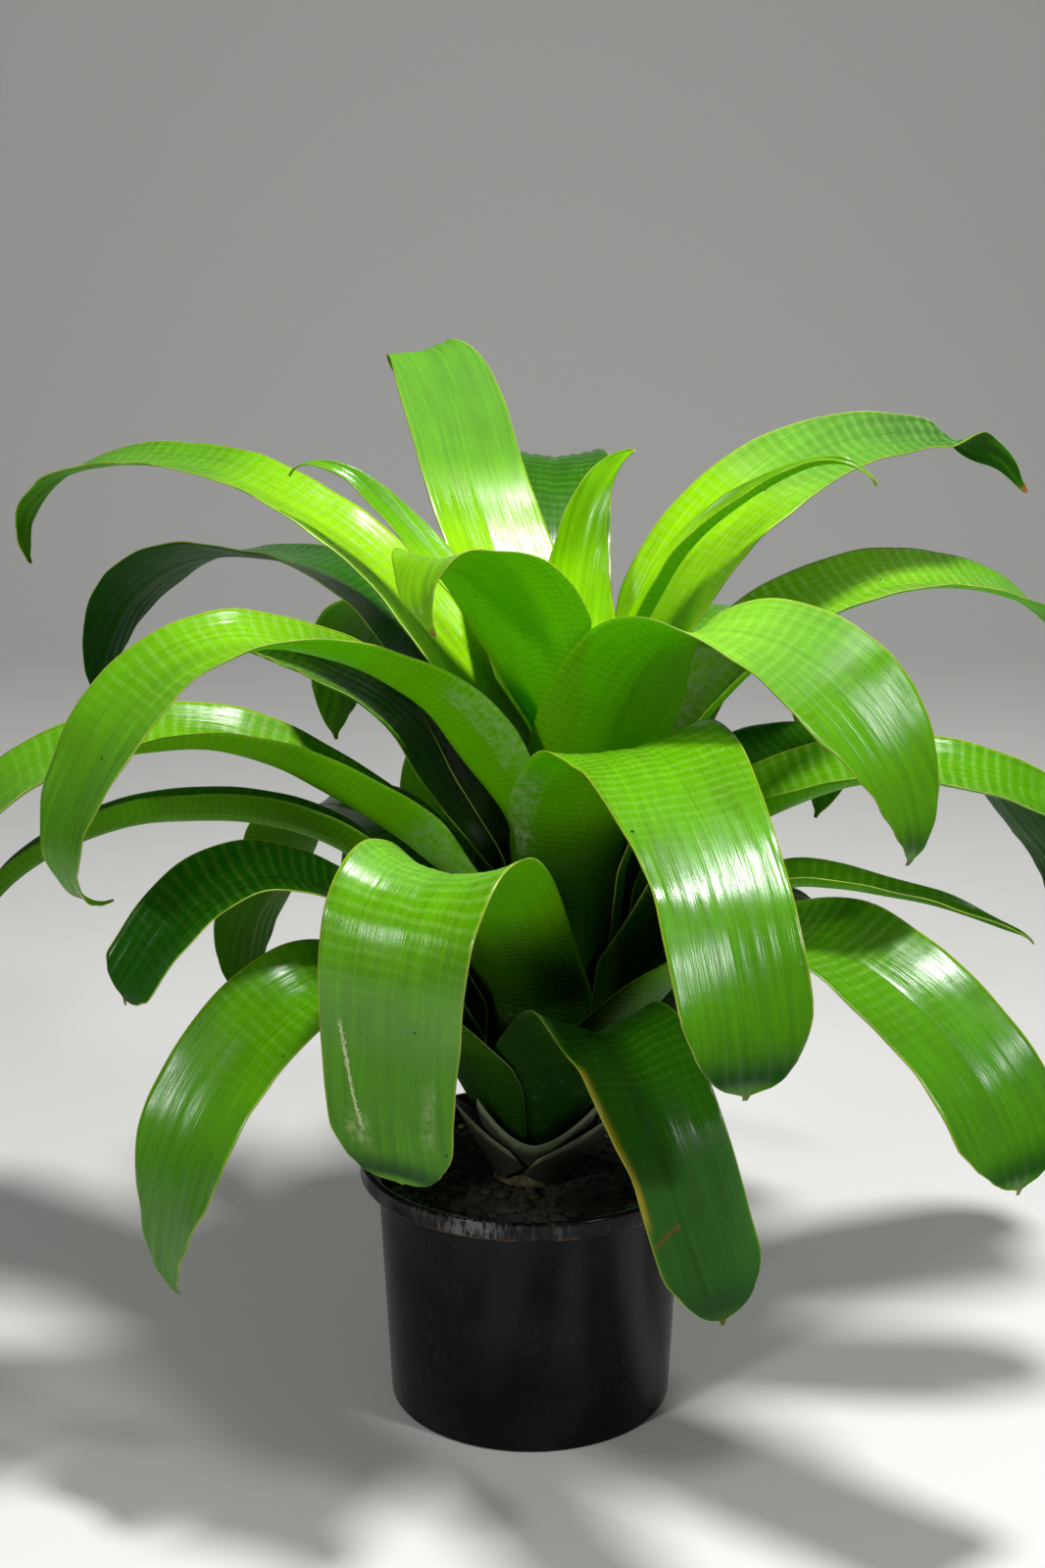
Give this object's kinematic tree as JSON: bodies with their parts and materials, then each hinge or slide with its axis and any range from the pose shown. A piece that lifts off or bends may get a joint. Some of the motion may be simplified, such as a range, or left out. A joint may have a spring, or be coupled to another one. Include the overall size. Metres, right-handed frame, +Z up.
{
  "type": "potted bromeliad plant",
  "caption": "Large rosette-forming strap-leaved bromeliad with broad glossy green arching leaves, growing in a squat round black plastic nursery pot.",
  "frame": {"origin": "centre of the pot's base, on the surface it stands on", "axes": "+Z up, -Y towards the viewer of the picture, +X to the viewer's right; the rosette leans slightly towards +X"},
  "size_m": [0.6848, 0.5282, 0.6048],
  "materials": {
    "pot": "worn satin black moulded plastic, dusty at the lip",
    "soil": "dark damp bark potting mix with specks of moss",
    "stem": "fibrous matt plant stem",
    "young_leaf": "glossy bright yellow-green leaf",
    "leaf": "glossy mid green leaf with faint pale cross-banding",
    "old_leaf_base": "matt grey-green worn leaf base"
  },
  "bodies": {
    "root": {"leaf_01_heart": "young_leaf", "leaf_02_heart_tip": "young_leaf", "leaf_03_right_narrow": "young_leaf", "leaf_04_left_narrow": "young_leaf", "leaf_05_front_curled": "young_leaf", "leaf_06_top_back": "young_leaf", "leaf_07_right_high": "leaf", "leaf_08_left_high": "leaf", "leaf_09_back_high": "leaf", "leaf_10_front_right_high": "leaf", "leaf_11_front_left_high": "leaf", "leaf_12_front_broad": "leaf", "leaf_13_right_long": "leaf", "leaf_14_back_left_long": "leaf", "leaf_15_left_short": "leaf", "leaf_16_back_right": "leaf", "leaf_17_left_long": "leaf", "leaf_18_front_left_hanging": "leaf", "leaf_19_right_middle": "leaf", "leaf_20_back_left_middle": "leaf", "leaf_21_back_middle": "leaf", "leaf_22_left_low": "leaf", "leaf_23_right_slim": "leaf", "leaf_24_back_left_low": "leaf", "leaf_25_front_right_low": "leaf", "leaf_26_left_drooping": "leaf", "leaf_27_back_right_low": "leaf", "leaf_28_front_low": "leaf", "leaf_29_back_left_outer": "leaf", "leaf_30_front_left_low": "leaf", "leaf_31_back_outer": "leaf", "leaf_32_right_short": "leaf", "leaf_33_back_left_last": "leaf", "old_leaf_base_back": "old_leaf_base", "old_leaf_base_front": "old_leaf_base", "old_leaf_base_left": "old_leaf_base", "old_leaf_base_right": "old_leaf_base", "pot": "pot", "soil": "soil", "stem": "stem"}
  },
  "joints": []
}
